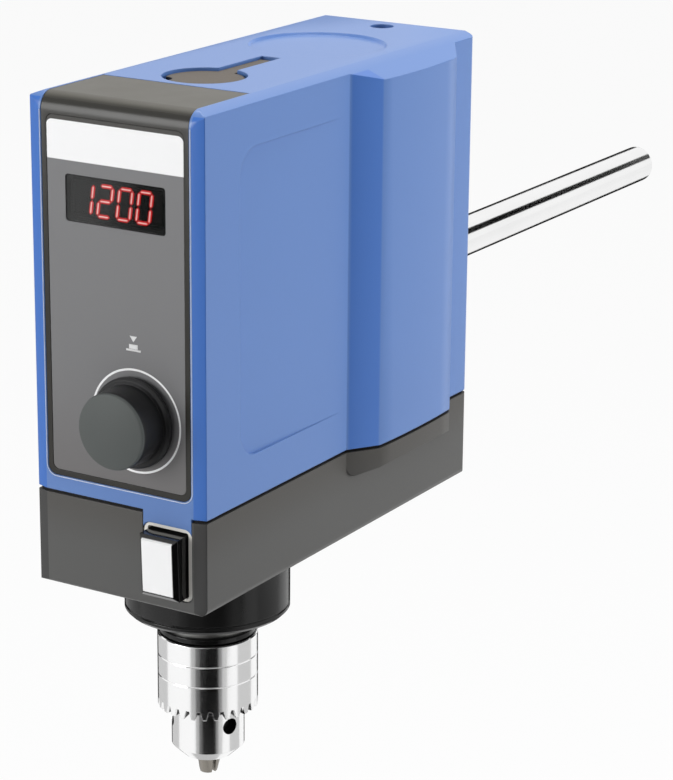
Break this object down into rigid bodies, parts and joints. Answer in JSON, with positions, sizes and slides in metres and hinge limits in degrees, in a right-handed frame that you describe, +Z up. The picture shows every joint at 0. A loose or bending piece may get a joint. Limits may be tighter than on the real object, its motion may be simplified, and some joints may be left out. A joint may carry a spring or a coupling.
{
  "type": "overhead stirrer",
  "caption": "Overhead stirrer drive head: narrow housing with display, push-and-turn knob, rocker switch, hollow spindle with key chuck and a rear support rod.",
  "frame": {"origin": "on the spindle axis, halfway up the gripping length of the closed jaws", "axes": "+Z up along the spindle axis, +Y to the back along the support rod, the front panel faces -Y, +X is on the right of someone facing the front panel"},
  "size_m": [0.0876, 0.423, 0.262],
  "materials": {
    "cover_blue": "satin moulded plastic",
    "base_grey": "satin moulded plastic",
    "gasket_black": "dull",
    "panel_black": "gloss",
    "label_grey": "fine matt film",
    "window_smoke": "gloss",
    "display_dark": "matt",
    "board_green": "solder mask",
    "screw_steel": "plated",
    "encoder_zinc": "satin",
    "knob_grey": "fine matt",
    "socket_black": "matt",
    "pin_brass": "bright",
    "frame_white": "satin",
    "rocker_black": "polished",
    "collar_black": "polished",
    "seal_rubber": "dull",
    "bearing_steel": "ground",
    "cast_alloy": "cast",
    "motor_steel": "satin",
    "stator_iron": "laminated",
    "rotor_iron": "laminated",
    "shaft_steel": "ground",
    "pulley_alloy": "machined",
    "belt_rubber": "dull",
    "guide_plastic": "satin",
    "rod_steel": "polished",
    "lid_grey": "satin",
    "flange_grey": "satin",
    "ring_black": "polished",
    "chuck_chrome": "polished",
    "jaw_steel": "hardened"
  },
  "bodies": {
    "stirrer": {"base_housing": "base_grey", "housing_cover": "cover_blue", "seam_gasket": "gasket_black", "front_panel": "panel_black", "panel_inlay": "label_grey", "display_window": "window_smoke", "display_module": "display_dark", "control_board": "board_green", "board_screws": "screw_steel", "encoder_body": "encoder_zinc", "power_board": "board_green", "mains_inlet": "socket_black", "inlet_pins": "pin_brass", "switch_frame": "frame_white", "bearing_collar": "collar_black", "shaft_seal": "seal_rubber", "spindle_bearings": "bearing_steel", "chassis": "cast_alloy", "motor_can": "motor_steel", "motor_end_bell": "cast_alloy", "motor_stator": "stator_iron", "motor_bearings": "bearing_steel", "motor_screws": "screw_steel", "drive_belt": "belt_rubber", "shaft_guide": "guide_plastic", "support_rod": "rod_steel", "lid_pin": "screw_steel", "collar_screws": "screw_steel", "housing_screws": "screw_steel", "crown_screw": "screw_steel"},
    "spindle_group": {"spindle": "shaft_steel", "spindle_flange": "flange_grey", "splash_ring": "ring_black", "spindle_pulley": "pulley_alloy", "chuck_body": "chuck_chrome"},
    "sleeve_group": {"chuck_sleeve": "chuck_chrome", "chuck_nut": "jaw_steel"},
    "first_jaw": {"jaw_1": "jaw_steel"},
    "second_jaw": {"jaw_2": "jaw_steel"},
    "third_jaw": {"jaw_3": "jaw_steel"},
    "motor_group": {"motor_shaft": "shaft_steel", "motor_rotor": "rotor_iron", "motor_pulley": "pulley_alloy"},
    "encoder_disc": {"encoder_rotor": "pin_brass"},
    "knob": {"speed_knob": "knob_grey", "encoder_shaft": "shaft_steel"},
    "rocker": {"switch_rocker": "rocker_black"},
    "lid": {"shaft_lid": "lid_grey"}
  },
  "joints": [
    {"name": "spindle_spin", "type": "hinge", "parent": "stirrer", "child": "spindle_group", "pos_m": [0, 0, 0.1], "axis": [0, 0, 1], "continuous": true},
    {"name": "motor_spin", "type": "hinge", "parent": "stirrer", "child": "motor_group", "pos_m": [0, 0.076, 0.14], "axis": [0, 0, 1], "continuous": true},
    {"name": "sleeve_turn", "type": "hinge", "parent": "spindle_group", "child": "sleeve_group", "pos_m": [0, 0, 0.035], "axis": [0, 0, 1], "range_deg": [-790, 3760]},
    {"name": "first_jaw_slide", "type": "slide", "parent": "spindle_group", "child": "first_jaw", "axis": [0.0474, -0.2372, 0.9703], "range_m": [-0.0032, 0.0156]},
    {"name": "second_jaw_slide", "type": "slide", "parent": "spindle_group", "child": "second_jaw", "axis": [0.1817, 0.1597, 0.9703], "range_m": [-0.0034, 0.0158]},
    {"name": "third_jaw_slide", "type": "slide", "parent": "spindle_group", "child": "third_jaw", "axis": [-0.2292, 0.0776, 0.9703], "range_m": [-0.0034, 0.0158]},
    {"name": "knob_turn", "type": "hinge", "parent": "stirrer", "child": "encoder_disc", "pos_m": [0.0075, -0.05, 0.1437], "axis": [0, -1, 0], "continuous": true},
    {"name": "knob_push", "type": "slide", "parent": "encoder_disc", "child": "knob", "axis": [0, 1, 0], "range_m": [0, 0.0008], "stiffness_N_per_m": 1500, "springref_m": -0.001},
    {"name": "rocker_tilt", "type": "hinge", "parent": "stirrer", "child": "rocker", "pos_m": [0.0201, -0.0475, 0.0951], "axis": [-1, 0, 0], "range_deg": [0, 4.8]},
    {"name": "lid_swing", "type": "hinge", "parent": "stirrer", "child": "lid", "pos_m": [0, 0.0406, 0.251], "axis": [-1, 0, 0], "range_deg": [0, 95]}
  ],
  "couplings": [
    {"joint": "motor_spin", "follows": "spindle_spin", "ratio": 3},
    {"joint": "sleeve_turn", "follows": "first_jaw_slide", "rad_per_m": 4188.8},
    {"joint": "second_jaw_slide", "follows": "first_jaw_slide", "ratio": 1},
    {"joint": "third_jaw_slide", "follows": "first_jaw_slide", "ratio": 1}
  ]
}
